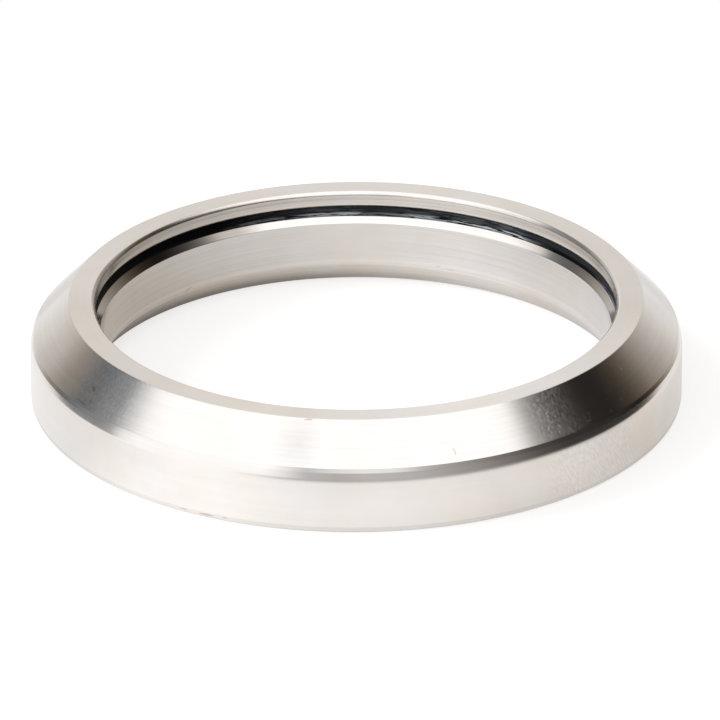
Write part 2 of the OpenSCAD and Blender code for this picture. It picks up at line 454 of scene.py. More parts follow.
def outer_outline(sizes):
    """Section of the outer ring, from its lower outer edge round by the seat cone and the bore."""
    at = section_places(sizes)
    keeper_grip, skirt_step, keeper_z, land_inset = 0.06, 0.17, 1.7, 0.15
    top_edge, fine, soft = 0.06, 0.015, sizes.edge_round
    step_fade, step_hold = 0.06, 0.09
    land_r = PITCH_R - land_inset
    keeper_r = PITCH_R + BALL_R - keeper_grip
    skirt_r = keeper_r + skirt_step
    race_top = math.degrees(math.acos((land_r - PITCH_R) / at["race_r"]))
    race_foot = -math.degrees(math.acos((keeper_r - PITCH_R) / at["race_r"]))
    lip_r, stepped_r = at["lip_r"], at["stepped_r"]
    step_top = HEIGHT - sizes.lip_step_depth
    step_foot = step_top - sizes.lip_step
    outside = [
        (OUTER_R - sizes.edge, 0.0, soft),
        (OUTER_R, sizes.edge, soft),
        (OUTER_R, sizes.cylinder_h, sizes.band_round),
        (at["band_top_r"], at["band_top_z"], 2 * soft),
        (at["cone_foot_r"], at["cone_foot_z"], soft),
        (at["top_r"], HEIGHT, top_edge),
        (at["mouth_r"], HEIGHT, sizes.lip_round),
        (stepped_r, at["mouth_z"], sizes.lip_round),
        (stepped_r, step_top + step_hold, 0.0),
        (stepped_r, step_top + step_fade, 0.0),
        (lip_r, step_foot - step_fade, 0.0),
        (lip_r, step_foot - step_hold, 0.0),
        (lip_r, at["lip_z"], sizes.lip_foot_round),
        (at["upper_slot_r"], at["lip_z"], fine),
        (at["upper_slot_r"], at["upper_slot_z"], fine),
        (land_r, at["upper_slot_z"], fine),
    ]
    underside = [
        (keeper_r, keeper_z, fine),
        (skirt_r, keeper_z, fine),
        (skirt_r, at["lower_slot_top"], fine),
        (at["lower_slot_r"], at["lower_slot_top"], fine),
        (at["lower_slot_r"], at["lower_slot_z"], fine),
        (skirt_r, at["lower_slot_z"], fine),
        (skirt_r, sizes.edge, soft),
        (skirt_r + sizes.edge, 0.0, soft),
    ]
    race = race_arc(race_top, race_foot, at["race_r"])
    return rounded(np.concatenate([outside, race, underside]))


def inner_outline(sizes):
    """Section of the inner ring, from the foot of its bore round by the seat and the raceway."""
    at = section_places(sizes)
    neck_grip, shoulder, soft, fine = 0.06, 20.0, sizes.edge_round, 0.015
    neck_r = PITCH_R - at["race_r"] + neck_grip
    flange_z = BALL_Z - at["race_r"] * math.cos(math.radians(shoulder))
    race_top = math.degrees(math.acos((neck_r - PITCH_R) / at["race_r"]))
    seat_z = at["inner_foot"] + sizes.inner_seat_w / math.tan(sizes.inner_seat_angle)
    below = [
        (BORE_R, seat_z, sizes.bore_foot_round),
        (BORE_R + sizes.inner_seat_w, at["inner_foot"], soft),
        (at["flange_r"] - sizes.edge, at["inner_foot"], soft),
        (at["flange_r"], at["inner_foot"] + sizes.edge, soft),
        (at["flange_r"], flange_z, fine),
    ]
    above = [
        (neck_r, at["inner_top"], fine),
        (BORE_R + sizes.bore_chamfer, at["inner_top"], soft),
        (BORE_R, at["bore_top"], soft),
    ]
    race = race_arc(shoulder - 90, race_top - 360, at["race_r"])
    return rounded(np.concatenate([below, race, above]))


def upper_seal_outline(sizes):
    """Section of the upper seal: a lip over the inner ring, a thin web and a bead in its slot."""
    at = section_places(sizes)
    setback, lip_w, lean, soft, fine = 0.33, 0.73, 0.27, 0.06, 0.03
    top = at["lip_z"] - sizes.fit
    bead_r = at["upper_slot_r"] - sizes.fit
    bead_in = bead_r - sizes.bead_w
    lip_in = BORE_R + setback
    lip_foot = at["inner_top"] + sizes.seal_gap
    return rounded([
        (lip_in + lean, top, soft),
        (lip_in, lip_foot, soft),
        (lip_in + lip_w, lip_foot, fine),
        (lip_in + lip_w + lean, top - sizes.web_t, fine),
        (bead_in, top - sizes.web_t, fine),
        (bead_in, top - sizes.bead_t, fine),
        (bead_r, top - sizes.bead_t, fine),
        (bead_r, top, fine),
    ])


def lower_seal_outline(sizes):
    """Section of the lower seal: a bead in its slot, a thin web and a lip round the flange."""
    at = section_places(sizes)
    lip_w, fine = 0.26, 0.04
    foot = at["lower_slot_z"] + sizes.fit
    top = foot + sizes.bead_t
    web_foot = foot + (sizes.bead_t - sizes.web_t) / 2
    bead_r = at["lower_slot_r"] - sizes.fit
    bead_in = bead_r - sizes.bead_w
    lip_in = at["flange_r"] + sizes.seal_gap
    lip_out = lip_in + lip_w
    return rounded([
        (lip_in, foot, fine),
        (lip_out, foot, fine),
        (lip_out, web_foot, fine),
        (bead_in, web_foot, fine),
        (bead_in, foot, fine),
        (bead_r, foot, fine),
        (bead_r, top, fine),
        (bead_in, top, fine),
        (bead_in, web_foot + sizes.web_t, fine),
        (lip_out, web_foot + sizes.web_t, fine),
        (lip_out, top, fine),
        (lip_in, top, fine),
    ])


def ring_coordinates(nodes):
    """What lathe work depends on, as a dictionary of sockets.

    point is in millimetres, radius and height are its parts, around and behind are its turns from
    the front and from the back in degrees, positive to the right, outward is the direction from
    the axis, along is the distance along the section, and unrolled is the point on the flattened
    outside in millimetres.
    """
    point, axes = nodes.millimetres()
    flat = nodes.vector("MULTIPLY", {0: point, 1: (1.0, 1.0, 0.0)})[0]
    around = nodes.compass(axes)
    behind = nodes.minus(180.0, nodes.maths("ABSOLUTE", around))
    unrolled = nodes.add("ShaderNodeCombineXYZ", {0: nodes.times(around, UNROLL), 1: axes[2]})
    return {
        "point": point,
        "radius": nodes.vector("LENGTH", {0: flat})["Value"],
        "height": axes[2],
        "around": around,
        "behind": nodes.times(behind, nodes.maths("SIGN", around)),
        "outward": nodes.vector("NORMALIZE", {0: flat})[0],
        "along": nodes.add("ShaderNodeAttribute", attribute_name="along").outputs["Fac"],
        "unrolled": unrolled.outputs[0],
    }


def ground_steel(nodes, at, tone, roughness, chatter, pitch, depth):
    """Steel ground in a lathe, as inputs of a Principled BSDF.

    Fine lines run round the axis, about pitch to a millimetre and as deep as depth, with faint
    clouds and casts over them. Short slanting dashes cross them where chatter is above 0.
    """
    slant, dash_length, dash_width = math.radians(-62), 0.6, 0.15
    lines = nodes.noise(at["outward"], 1.0, 3.0, 0.65, nodes.times(at["along"], pitch))
    lines = nodes.times(nodes.step(lines, 0.25, 0.75, -1.0, 1.0), depth)
    clouds = nodes.step(nodes.noise(at["point"], 0.35, 2.0, 0.6), 0.3, 0.7, 0.975, 1.005)
    inputs = {
        "Vector": at["unrolled"],
        "Rotation": (0.0, 0.0, slant),
        "Scale": (dash_length, dash_width, 1.0),
    }
    slanting = nodes.add("ShaderNodeMapping", inputs, vector_type="TEXTURE").outputs[0]
    dashes = nodes.noise(slanting, 1.0, 2.0, 0.5)
    streaks = nodes.times(chatter, nodes.step(dashes, 0.3, 0.7, -0.075, 0.075))
    shade = nodes.grey(nodes.plus(lines, clouds, streaks))
    cast = nodes.step(nodes.noise(at["point"], 0.17, 1.0), 0.35, 0.65)
    cast = nodes.tint(cast, (1.008, 1.0, 0.985, 1.0), (0.99, 1.0, 1.012, 1.0))
    tangent = nodes.add("ShaderNodeTangent", direction_type="RADIAL", axis="Z")
    return {
        "Base Color": nodes.filtered(nodes.filtered(tone, shade), cast),
        "Metallic": 1.0,
        "Roughness": roughness,
        "Anisotropic": 0.9,
        "Anisotropic Rotation": 0.25,
        "Normal": nodes.bump(dashes, chatter, 0.0000006),
        "Tangent": tangent.outputs["Tangent"],
    }


def steel_tone(nodes, colours, painted_warmth, painted_level):
    """The colour of steel, tinted warm by painted_warmth and as bright as painted_level, which
    carry painted light and shade.
    """
    steel = nodes.tint(painted_warmth, rgba(colours.steel), rgba(colours.warm_shade_steel))
    return nodes.filtered(steel, nodes.grey(painted_level))


# Roughness of each face, and of a scratch
ROUGHNESS = {
    "cylinder": 0.18, "cone": 0.11, "top": 0.28, "lip_chamfer": 0.22,
    "bore": 0.18, "bore_chamfer": 0.1, "scratch": 0.45,
}
# Grinding lines to a millimetre, and how deep each face's lines are, as a share of its brightness
LINE_PITCH = {"outer": 3.2, "inner": 9.0}
LINE_DEPTH = {"cylinder": 0.012, "seat": 0.03, "lip": 0.1, "bore": 0.1}
# Grains of a scuff to a radian round the axis, and to a millimetre along the section
GRAINS_ROUND = 130.0
GRAINS_ALONG = 3.6

# Light, shade and warm tints painted on the reflections, against the turn from the front, as
# (degrees, level)
TOP_PAINTED_LIGHT = (
    (-180, 0.98), (-120, 0.98), (-95, 0.93), (-85, 0.87), (-65, 0.93), (-45, 0.97), (-15, 1.0),
    (5, 1.06), (18, 1.14), (42, 1.12), (55, 1.04), (65, 0.98), (85, 0.87), (115, 0.93),
    (150, 1.0), (180, 0.98),
)
# Warm tint painted on the upper face
TOP_PAINTED_WARMTH = (
    (-180, 0.35), (-110, 0.4), (-85, 0.6), (-20, 0.5), (10, 0.25), (40, 0.05), (70, 0.3),
    (90, 0.65), (180, 0.35),
)
# Warm tint painted on the outside below the seat cone
SIDE_PAINTED_WARMTH = (
    (-180, 0.2), (-20, 0.0), (10, 0.1), (35, 0.35), (65, 0.6), (85, 0.3), (180, 0.2),
)

# Light and shade painted on the reflections, and where grease lies, against the turn from the back,
# as (degrees, level)
# Light and shade painted on the bore of the lip, darkest on the left
LIP_PAINTED_SHADE = (
    (-180, 0.5), (-90, 0.45), (-75, 0.46), (-55, 0.48), (-35, 0.58), (-25, 0.69), (-15, 0.78),
    (5, 0.93), (25, 1.08), (35, 1.0), (45, 0.89), (55, 0.74), (65, 0.67), (90, 0.6), (180, 0.5),
)
# Light and shade painted round the bore
BORE_PAINTED_LIGHT = (
    (-180, 0.8), (-90, 0.8), (-65, 0.77), (-50, 0.76), (-35, 0.84), (-25, 0.9), (-10, 0.98),
    (5, 1.05), (25, 1.12), (35, 1.06), (45, 0.94), (65, 0.86), (75, 0.8), (180, 0.8),
)
# Where the grease streaks lie, whose pale colour is a painted highlight
GREASE_AND_HIGHLIGHT = (
    (-180, 0.0), (-32, 0.0), (-25, 0.25), (-13, 0.35), (-10, 1.0), (0, 1.0), (3, 0.3),
    (10, 0.35), (13, 1.0), (27, 1.0), (33, 1.5), (39, 1.5), (43, 0.2), (50, 0.0), (65, 0.0),
    (75, 0.2), (85, 0.4), (95, 0.0), (180, 0.0),
)

# Heights in millimetres between which a trace, a painted shade, tint or highlight fades
# Shade painted at the foot of the outer ring
SHADED_FOOT_Z = (0.4, 0.5)
CHATTER_Z = (4.15, 4.25)
# Shade painted on the bore of the lip is full above these heights and lighter below
LIP_SHADE_Z = (7.0, 7.5)
# A highlight painted round the bore above its foot
BORE_SHEEN_Z = (2.0, 2.25)
# A warm tint of shade painted in the bore below these heights
WARM_SHADE_FOOT_Z = (1.6, 2.2)
# Grease streaks, painted pale as highlights, lie below these heights
SEAL_GREASE_Z = (6.12, 6.26)
# A faint shine painted on the seal above these heights
SEAL_SHEEN_Z = (6.14, 6.42)
BETWEEN_SEALS_Z = (5.0, 5.5)

# Turns from the front over which a trace, painted glints or painted shade shows, as (from, to,
# softness) in degrees
RIGHT_SCUFF = (34.0, 44.0, 3.0)
# Scuffs whose glints of light are painted into the colour
LEFT_SCUFF_GLINTS = (-61.0, -46.0, 5.0)
CHATTER = (36.0, 58.0, 6.0)
# Shade painted on the left of the lip's chamfer
SHADED_LIP_END = (-110.0, -85.0, 8.0)

# The same, as turns from the back, where shade, a warm tint and a shine are painted
# Shade painted at the ends of the bore's chamfer
LEFT_CHAMFER_SHADE = (-95.0, -24.0, 5.0)
RIGHT_CHAMFER_SHADE = (40.0, 92.0, 6.0)
# A warm tint of shade painted on the left of the bore
WARM_SHADE_BORE = (-95.0, -35.0, 15.0)
# Shine painted on the upper seal
SEAL_SHEEN = (-18.0, 84.0, 10.0)

# Marks as (turn, height, turn, height, width), in degrees and millimetres
SCRATCHES = (
    (34.2, 7.88, 34.8, 7.16, 0.1), (31.6, 7.6, 32.0, 7.5, 0.12), (37.2, 6.84, 37.8, 6.36, 0.08),
    (46.1, 6.1, 46.1, 5.72, 0.07), (46.1, 5.76, 45.5, 5.48, 0.07), (45.5, 5.48, 44.6, 5.55, 0.07),
    (45.2, 6.2, 44.6, 5.5, 0.05), (38.2, 5.85, 38.3, 5.4, 0.06), (41.0, 5.4, 41.2, 5.0, 0.06),
    (55.0, 5.72, 55.2, 5.7, 0.1), (60.5, 7.08, 60.5, 7.02, 0.22), (51.1, 5.5, 51.2, 5.4, 0.12),
    (-56.4, 7.93, -55.6, 7.9, 0.1), (-53.5, 5.9, -52.5, 5.6, 0.1), (-50.5, 6.1, -49.7, 5.8, 0.07),
)
NICKS = (
    (17.3, 6.02, 17.6, 5.8, 0.12), (17.6, 5.85, 17.5, 5.62, 0.12), (-10.2, 7.9, -8.2, 7.95, 0.14),
    (-57.0, 6.4, -56.2, 6.3, 0.32), (-60.0, 5.42, -55.0, 5.36, 0.09),
    (-55.6, 5.75, -55.0, 5.65, 0.16),
)
STAINS = (
    (-32.0, 0.32, -30.0, 0.3, 0.1), (-28.2, 0.28, -24.9, 0.3, 0.2), (-23.6, 0.34, -22.4, 0.34, 0.1),
)
BORE_NICKS = (
    (-139.0, 2.1, -136.5, 1.9, 0.16), (156.5, 1.94, 159.0, 1.9, 0.1),
    (160.0, 2.1, 161.2, 2.05, 0.1),
)


def outer_faces(nodes, at, sizes):
    """Masks of the outer ring's faces, each 1 on its face and 0 off it, as a dictionary."""
    edges, radius, height = section_places(sizes), at["radius"], at["height"]
    top_r, mouth_r, mouth_z = edges["top_r"], edges["mouth_r"], edges["mouth_z"]
    cone_z, cylinder_z = edges["cone_foot_z"], sizes.cylinder_h
    outside = nodes.step(radius, top_r - 0.1105, top_r - 0.0105)
    inside = nodes.step(radius, mouth_r + 0.02, mouth_r + 0.06, 1.0, 0.0)
    upper = nodes.step(height, HEIGHT - 0.06, HEIGHT - 0.02)
    above_mouth = nodes.step(height, mouth_z - 0.03, mouth_z + 0.01)
    below_mouth = nodes.step(height, mouth_z - 0.03, mouth_z + 0.01, 1.0, 0.0)
    return {
        "outside": outside,
        "inside": inside,
        "top": nodes.times(upper, nodes.minus(1.0, inside)),
        "chamfer": nodes.times(inside, above_mouth),
        "wall": nodes.times(inside, below_mouth),
        "cone": nodes.times(outside, nodes.step(height, cone_z + 0.04, cone_z + 0.14)),
        "seat": nodes.times(outside, nodes.step(height, cylinder_z - 0.04, cylinder_z + 0.02)),
    }


def outer_steel(name, sizes, colours):
    """The outer ring's steel, with the scuffs, scratches, nicks and stains of handling.

    TOP_PAINTED_LIGHT and LIP_PAINTED_SHADE hold the light and shade painted round the upper face
    and the bore of the lip, and the PAINTED_WARMTH tables hold a warm tint painted where it
    reflects warm shade. Shade is also painted at its foot and on the left of the lip's chamfer, and
    glints of light on the cone's left scuffs.
    """
    material, nodes = new_material(name)
    at = ring_coordinates(nodes)
    around, behind, height, unrolled = at["around"], at["behind"], at["height"], at["unrolled"]
    on = outer_faces(nodes, at, sizes)

    right = nodes.times(nodes.window(around, *RIGHT_SCUFF), on["cone"])
    left = nodes.times(nodes.window(around, *LEFT_SCUFF_GLINTS), on["cone"])
    along = nodes.times(at["along"], GRAINS_ALONG / GRAINS_ROUND)
    speckle = nodes.noise(at["outward"], GRAINS_ROUND, 3.0, 0.6, along)
    rough = nodes.mix(right, ROUGHNESS["cone"], nodes.step(speckle, 0.36, 0.72, 0.1, 0.2))
    rough = nodes.mix(on["seat"], ROUGHNESS["cylinder"], rough)
    rough = nodes.mix(on["top"], rough, ROUGHNESS["top"])
    rough = nodes.mix(on["chamfer"], rough, ROUGHNESS["lip_chamfer"])

    # Shade painted on the bore of the lip
    painted_light = nodes.minus(1.0, nodes.ramp(behind, LIP_PAINTED_SHADE))
    painted_light = nodes.times(painted_light, on["wall"], nodes.step(height, *LIP_SHADE_Z, 0.65, 1.0))
    # Shade painted on the left of the lip's chamfer
    painted_lip_end_shade = nodes.times(nodes.window(around, *SHADED_LIP_END), on["chamfer"], 0.5)
    painted_light = nodes.plus(painted_light, painted_lip_end_shade)
    # Shade painted at the foot of the cylinder
    foot = nodes.times(on["outside"], nodes.step(height, *SHADED_FOOT_Z, 1.0, 0.0))
    # A soft darker patch on the cone
    dimness = nodes.mark(unrolled, -10.5, 6.5, 4.4, 4.0)
    # Glints of light painted on the left scuffs of the cone
    painted_scuff_glints = nodes.times(left, nodes.step(speckle, 0.35, 0.68, 0.1, -0.12))
    # Taken off the brightness: painted shade at the foot and on the lip, the darker patch and the
    # painted glints
    painted_light_and_dim_patch = nodes.plus(nodes.times(foot, 0.1), nodes.times(dimness, 0.14), painted_light, painted_scuff_glints)
    # Light and shade painted on the upper face, less the shade taken off below
    painted_level = nodes.minus(nodes.mix(on["top"], 1.0, nodes.ramp(around, TOP_PAINTED_LIGHT)), painted_light_and_dim_patch)

    # Warm tints painted on the outside below the seat cone and on the upper face
    painted_warmth = nodes.mix(on["cone"], nodes.ramp(around, SIDE_PAINTED_WARMTH), 0.0)
    painted_warmth = nodes.mix(on["top"], painted_warmth, nodes.ramp(around, TOP_PAINTED_WARMTH))
    # A warm tint painted on the lip's chamfer, strongest towards the left
    polished = nodes.times(on["chamfer"], nodes.step(behind, -40.0, 0.0, 0.6, 0.1))
    lip_painted_warmth = nodes.plus(nodes.times(painted_light, 1.6), polished)
    painted_warmth = nodes.mix(on["inside"], painted_warmth, lip_painted_warmth)
    tone = steel_tone(nodes, colours, painted_warmth, painted_level)

    chatter = nodes.times(nodes.window(around, *CHATTER), on["outside"])
    chatter = nodes.times(chatter, nodes.step(height, *CHATTER_Z, 0.75, 0.25))
    depth = nodes.mix(on["seat"], LINE_DEPTH["cylinder"], LINE_DEPTH["seat"])
    depth = nodes.mix(on["wall"], depth, LINE_DEPTH["lip"])
    steel = ground_steel(nodes, at, tone, rough, chatter, LINE_PITCH["outer"], depth)

    stains = nodes.times(nodes.strokes(unrolled, STAINS), 0.5)
    nicks = nodes.times(nodes.strokes(unrolled, NICKS), 0.45)
    dirt = nodes.times(nodes.plus(stains, nicks), on["outside"])
    scratches = nodes.times(nodes.strokes(unrolled, SCRATCHES), on["outside"], 0.4)
    steel["Base Color"] = nodes.tint(dirt, steel["Base Color"], rgba(colours.stain))
    steel["Roughness"] = nodes.mix(scratches, steel["Roughness"], ROUGHNESS["scratch"])
    finish_material(nodes, steel)
    return material


def inner_steel(name, sizes, colours):
    """The inner ring's steel: a finely turned bore and a polished chamfer, with shade painted at
    its ends.

    BORE_PAINTED_LIGHT holds the light and shade painted round the bore. A highlight and warm tints
    of shade are painted on it too.
    """
    material, nodes = new_material(name)
    at = ring_coordinates(nodes)
    behind, height = at["behind"], at["height"]
    bore_top = section_places(sizes)["bore_top"]
    chamfer = nodes.step(height, bore_top - 0.0275, bore_top + 0.0325)
    # Shade painted at both ends of the chamfer
    left_painted_shade = nodes.times(nodes.window(behind, *LEFT_CHAMFER_SHADE), 0.48)
    right_painted_shade = nodes.times(nodes.window(behind, *RIGHT_CHAMFER_SHADE), 0.25)
    painted_light = nodes.times(nodes.plus(left_painted_shade, right_painted_shade), chamfer)
    # Light and shade painted round the bore
    painted_level = nodes.minus(nodes.mix(chamfer, nodes.ramp(behind, BORE_PAINTED_LIGHT), 1.0), painted_light)
    # A highlight painted round the bore above its foot
    sheen = nodes.times(nodes.window(height, *BORE_SHEEN_Z, 0.12), 0.06)
    painted_level = nodes.plus(painted_level, sheen)
    # A warm tint of shade painted on the left and towards the foot
    painted_warmth = nodes.times(nodes.window(behind, *WARM_SHADE_BORE), 0.2)
    painted_warmth = nodes.plus(painted_warmth, nodes.step(height, *WARM_SHADE_FOOT_Z, 0.4, 0.0))
    painted_warmth = nodes.mix(chamfer, painted_warmth, nodes.times(painted_light, 2.2))
    tone = steel_tone(nodes, colours, painted_warmth, painted_level)
    rough = nodes.mix(chamfer, ROUGHNESS["bore"], ROUGHNESS["bore_chamfer"])
    steel = ground_steel(nodes, at, tone, rough, 0.0, LINE_PITCH["inner"], LINE_DEPTH["bore"])
    nicks = nodes.times(nodes.strokes(at["unrolled"], BORE_NICKS), 0.35)
    steel["Base Color"] = nodes.tint(nicks, steel["Base Color"], rgba(colours.stain))
    finish_material(nodes, steel)
    return material


def seal_rubber(name, colours):
    """Deep black rubber, and streaks of wet grease where the upper seal meets the ring, painted
    pale as highlights, with a faint shine painted over them.

    GREASE_AND_HIGHLIGHT holds how wet the grease is and how much highlight is painted on it,
    against the turn from the back.
    """
    material, nodes = new_material(name)
    at = ring_coordinates(nodes)
    behind, height = at["behind"], at["height"]
    grain = nodes.noise(at["point"], 6.0, 3.0, 0.6)
    # Grease streaks low on the upper seal: real gloss, with their pale colour a painted highlight
    low = nodes.step(height, *SEAL_GREASE_Z, 1.0, 0.1)
    low = nodes.times(low, nodes.step(height, *BETWEEN_SEALS_Z))
    drawn = nodes.vector("MULTIPLY", {0: at["point"], 1: (0.5, 0.5, 8.0)})[0]
    painted_light = nodes.step(nodes.noise(drawn, 1.0, 3.0, 0.65), 0.41, 0.53)
    painted_light = nodes.times(painted_light, low)
    painted_light = nodes.maths("MULTIPLY", painted_light, nodes.ramp(behind, GREASE_AND_HIGHLIGHT), clamp=True)
    # A faint shine painted on the upper seal
    sheen = nodes.times(nodes.window(behind, *SEAL_SHEEN), nodes.step(height, *SEAL_SHEEN_Z))
    grease_and_painted_shine = nodes.plus(nodes.times(painted_light, 0.8), nodes.times(sheen, 0.03))
    finish_material(nodes, {
        "Base Color": nodes.tint(grease_and_painted_shine, rgba(colours.rubber), rgba(colours.grease)),
        "Roughness": nodes.step(grain, 0.3, 0.7, 0.4, 0.55),
        "Specular IOR Level": 0.06,
        "Coat Weight": painted_light,
        "Coat Roughness": 0.12,
        "Normal": nodes.bump(grain, 0.3, 0.00002),
    })
    return material


def ball_steel(name, tone):
    """Polished chrome steel, with the faintest haze."""
    material, nodes = new_material(name)
    place = nodes.add("ShaderNodeTexCoord").outputs["Object"]
    dimness = nodes.noise(place, 900.0, 3.0, 0.6)
    dimmed = tuple(0.97 * channel for channel in tone)
    finish_material(nodes, {
        "Base Color": nodes.tint(nodes.step(dimness, 0.3, 0.7), rgba(dimmed), rgba(tone)),
        "Metallic": 1.0,
        "Roughness": nodes.step(dimness, 0.35, 0.65, 0.05, 0.1),
    })
    return material


def cage_plastic(name, tone):
    """Moulded polyamide with a fine grain, wet with a trace of oil."""
    material, nodes = new_material(name)
    place = nodes.add("ShaderNodeTexCoord").outputs["Object"]
    grain = nodes.noise(place, 4000.0, 3.0, 0.6)
    oil = nodes.noise(place, 600.0, 2.0, 0.5)
    dimmed = tuple(0.8 * channel for channel in tone)
    finish_material(nodes, {
        "Base Color": nodes.tint(nodes.step(grain, 0.3, 0.7), rgba(dimmed), rgba(tone)),
        "Roughness": nodes.step(oil, 0.35, 0.65, 0.22, 0.45),
        "Normal": nodes.bump(grain, 0.3, 0.00001),
    })
    return material


def dress(piece, material, body, slot, *nodes):
    """Gives a piece its material and body, and hides the solids that it stands for. The slot is not
    used.
    """
    piece.data.materials.append(material)
    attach(piece, body)
    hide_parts(*nodes)


class BEARING_OT_outer_ring(Operator):
    """Turn the outer ring with its seat cone, steep band, cylinder, lip and raceway"""

    bl_idname = "bearing.outer_ring"
    bl_label = "Outer Ring"

    def execute(self, context):
        sizes, colours = context.scene.bearing_sizes, context.scene.bearing_colours
        piece = turned("outer_ring_finish", outer_outline(sizes), sizes.segments)
        steel = outer_steel("outer_steel", sizes, colours)
        dress(piece, steel, "outer", "outer_steel", "outer_ring")
        return {"FINISHED"}


class BEARING_OT_inner_ring(Operator):
    """Turn the inner ring with its bore, chamfer, seat cone, flange and raceway"""

    bl_idname = "bearing.inner_ring"
    bl_label = "Inner Ring"

    def execute(self, context):
        sizes, colours = context.scene.bearing_sizes, context.scene.bearing_colours
        piece = turned("inner_ring_finish", inner_outline(sizes), sizes.segments)
        steel = inner_steel("inner_steel", sizes, colours)
        dress(piece, steel, "inner", "inner_steel", "inner_ring")
        return {"FINISHED"}


class BEARING_OT_seals(Operator):
    """Turn the upper and the lower rubber seal"""

    bl_idname = "bearing.seals"
    bl_label = "Seals"

    def execute(self, context):
        sizes, colours = context.scene.bearing_sizes, context.scene.bearing_colours
        rubber = seal_rubber("seal_rubber", colours)
        upper = turned("upper_seal_finish", upper_seal_outline(sizes), sizes.segments)
        lower = turned("lower_seal_finish", lower_seal_outline(sizes), sizes.segments)
        dress(upper, rubber, "outer", "seal_rubber", "upper_seal")
        dress(lower, rubber, "outer", "seal_rubber", "lower_seal")
        return {"FINISHED"}


class BEARING_OT_rolling_set(Operator):
    """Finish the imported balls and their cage"""

    bl_idname = "bearing.rolling_set"
    bl_label = "Balls and Cage"

    def execute(self, context):
        colours = context.scene.bearing_colours
        chrome = ball_steel("ball_steel", tuple(colours.ball))
        plastic = cage_plastic("cage_plastic", tuple(colours.cage))
        for name in (*BALL_NODES, "ball_cage"):
            materials = frame["nodes"][name].data.materials
            materials.clear()
            materials.append(plastic if name == "ball_cage" else chrome)
        return {"FINISHED"}


# Levels of light as (turn from the front in degrees, level), and overhead as (x / z, level)
WALLS = (
    (-180, 0.88), (-157, 0.88), (-147, 0.72), (-137, 0.52), (-133, 0.4), (-129, 0.29),
    (-120, 0.175), (-116, 0.18), (-106, 0.24), (-98, 0.27), (-92, 0.4), (-87, 0.95), (-80, 1.2),
    (-32, 1.24), (-24, 0.95), (-17, 0.6), (-7, 0.52), (3, 0.58), (18, 0.54), (40, 0.33),
    (52, 0.2), (64, 0.09), (76, 0.04), (112, 0.017), (119, 0.046), (125, 0.122), (130, 0.25),
    (139, 0.47), (144, 0.6), (152, 0.78), (162, 0.86), (180, 0.88),
)
# Light and shade painted on the floor round the ring, against the turn from the front
FLOOR_PAINTED_LIGHT = (
    (-180, 1.0), (-90, 1.0), (-63, 0.98), (-52, 1.1), (-40, 1.22), (-29, 1.22), (-17, 1.15),
    (-6, 1.1), (6, 1.12), (17, 1.1), (29, 1.05), (40, 1.03), (52, 0.99), (63, 0.92), (74, 0.95),
    (90, 1.0), (180, 1.0),
)
OVERHEAD = (
    (-2.0, 0.2), (-1.48, 0.22), (-1.38, 0.33), (-1.28, 0.52), (-1.2, 0.86), (-1.13, 1.2),
    (-1.06, 1.3), (0.74, 1.3), (0.8, 1.25), (0.83, 0.95), (0.86, 0.62), (0.89, 0.4),
    (0.93, 0.25), (0.97, 0.16), (1.03, 0.1), (1.1, 0.05), (1.25, 0.022), (1.5, 0.015),
    (2.0, 0.02),
)


def floor_material():
    """White paper, which the camera sees as white and polished steel sees with light and shade
    painted on it.

    Round the ring, steel sees the light that FLOOR_PAINTED_LIGHT paints on it, and further out the
    walls' levels painted on it. Inside the ring shade is painted on the paper: it is darker and
    warmer on the left, and darkest under the ring.
    """
    material, nodes = new_material("floor")
    place, axes = nodes.millimetres()
    radius = nodes.vector("LENGTH", {0: place})["Value"]
    around = nodes.compass(axes)
    enclosed = nodes.step(radius, 21.5, 24.5, 1.0, 0.0)
    # Shade painted under the ring, deeper on the left
    under = nodes.mix(nodes.step(axes[0], -8.0, 14.0), 0.5, 0.98)
    middle = nodes.step(radius, 13.0, 19.0, 1.0, 1.08)
    inside = nodes.mix(nodes.step(radius, 20.4, 21.1), middle, under)
    # Far out, the walls' levels are painted on the paper
    far = nodes.mix(nodes.step(axes[1], -12.0, 5.0), nodes.ramp(around, WALLS), 0.8)
    outside = nodes.mix(nodes.step(radius, 35.0, 42.0), nodes.ramp(around, FLOOR_PAINTED_LIGHT), far)

    path = nodes.add("ShaderNodeLightPath").outputs
    seen = nodes.maths("MAXIMUM", path["Is Camera Ray"], path["Is Transmission Ray"])
    gloss = path["Is Glossy Ray"]
    # The painted levels of light and shade that glossy rays see
    share = nodes.mix(gloss, 1.0, nodes.mix(enclosed, outside, inside))
    glow_level = nodes.times(gloss, nodes.mix(enclosed, 0.55, 0.35))
    glow_level = nodes.mix(seen, nodes.times(glow_level, share), 0.72)
    lit_level = nodes.mix(gloss, 0.9, nodes.mix(enclosed, 0.4, 0.5))
    lit_level = nodes.mix(seen, nodes.times(lit_level, share), 0.42)
    # A warm tint painted into the shade inside the ring
    cast = nodes.tint(nodes.step(axes[0], -18.0, 6.0), (1.0, 0.95, 0.88, 1.0), WHITE)
    cast = nodes.tint(nodes.times(gloss, enclosed), WHITE, cast)
    glow = nodes.add("ShaderNodeEmission", {"Color": cast, "Strength": glow_level})
    paper = nodes.filtered(cast, nodes.grey(lit_level))
    paper = nodes.add("ShaderNodeBsdfDiffuse", {"Color": paper})
    shown = nodes.add("ShaderNodeAddShader", {0: glow.outputs[0], 1: paper.outputs[0]})
    nodes.add("ShaderNodeOutputMaterial", {"Surface": shown.outputs[0]})
    return material


